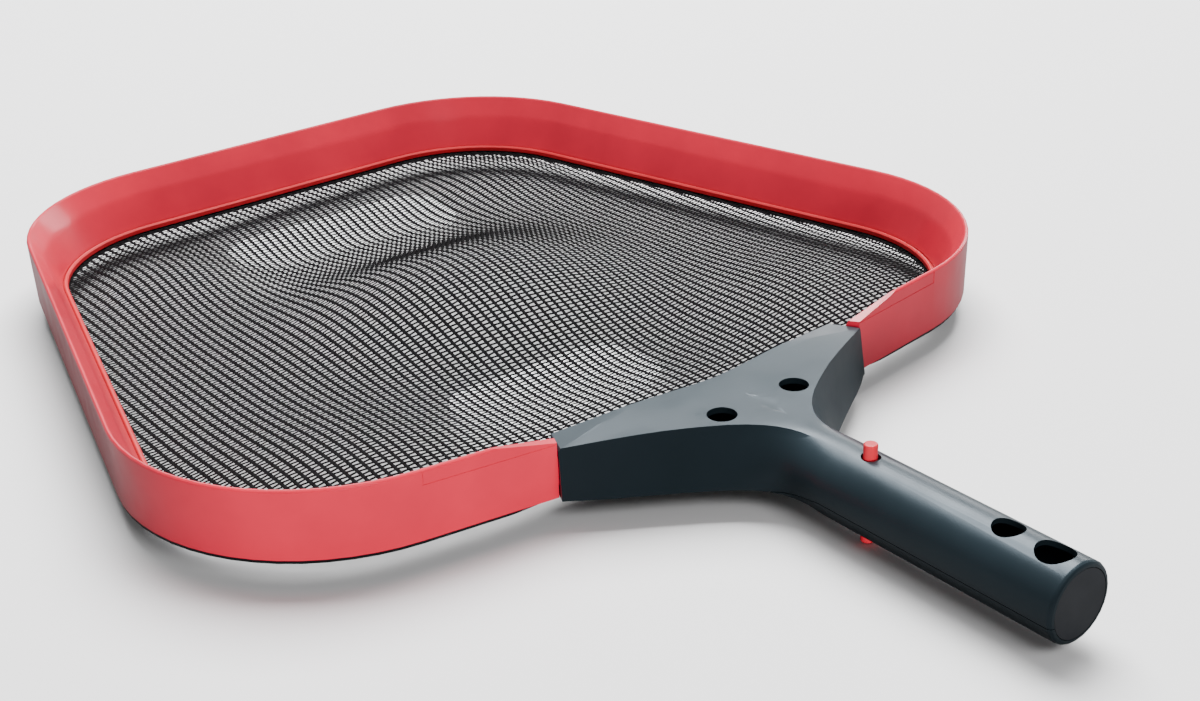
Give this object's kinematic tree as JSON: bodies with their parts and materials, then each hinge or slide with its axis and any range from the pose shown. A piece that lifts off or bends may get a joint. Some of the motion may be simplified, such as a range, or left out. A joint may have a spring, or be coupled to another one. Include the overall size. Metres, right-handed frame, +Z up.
{
  "type": "leaf skimmer net",
  "caption": "Flat leaf skimmer head: a flared red rim with a slack black net clamped in it, and a slate yoke and round handle with sprung locking pins",
  "frame": {"origin": "centre of the bounding box across and along, at its lowest point, the tip of the lower locking pin", "axes": "+X across the net, +Y from the handle to the leading edge, +Z up out of the net's open side"},
  "size_m": [0.3864, 0.5149, 0.038],
  "materials": {
    "rim_red": "satin red moulding with a fine grain",
    "clamp_red": "satin red moulding",
    "base_black": "matt black moulding",
    "net_black": "woven black filament mesh, slack",
    "patch_pale": "thin pale film, blank",
    "shell_slate": "satin slate moulding with a fine grain",
    "plug_grey": "matt grey moulding",
    "spring_steel": "bright spring strip",
    "pin_red": "glossy red moulding",
    "screw_steel": "plain steel"
  },
  "bodies": {
    "head": {"rim_frame": "rim_red", "net_clamp_ring": "clamp_red", "net_base_ring": "base_black", "net": "net_black", "net_patch_front": "patch_pale", "net_patch_rear": "patch_pale", "yoke_upper_shell": "shell_slate", "handle_lower_shell": "shell_slate", "end_plug": "plug_grey", "arm_screw_1": "screw_steel", "arm_screw_2": "screw_steel", "arm_screw_3": "screw_steel", "arm_screw_4": "screw_steel", "cover_screw": "screw_steel", "handle_screw": "screw_steel", "ring_screw_1": "screw_steel", "ring_screw_2": "screw_steel", "ring_screw_3": "screw_steel", "ring_screw_4": "screw_steel", "ring_screw_5": "screw_steel", "ring_screw_6": "screw_steel", "ring_screw_7": "screw_steel", "ring_screw_8": "screw_steel", "ring_screw_9": "screw_steel"},
    "top_pin": {"clip_leaf_top": "spring_steel", "lock_pin_top": "pin_red"},
    "bottom_pin": {"clip_leaf_bottom": "spring_steel", "lock_pin_bottom": "pin_red"}
  },
  "joints": [
    {"name": "top_pin_press", "type": "hinge", "parent": "head", "child": "top_pin", "pos_m": [0, -0.107, 0.02165], "axis": [1, 0, 0], "range_deg": [0, 4.4], "stiffness_Nm_per_rad": 2, "springref_deg": -5.73},
    {"name": "bottom_pin_press", "type": "hinge", "parent": "head", "child": "bottom_pin", "pos_m": [0, -0.107, 0.01615], "axis": [-1, 0, 0], "range_deg": [0, 4.4], "stiffness_Nm_per_rad": 2, "springref_deg": -5.73}
  ]
}
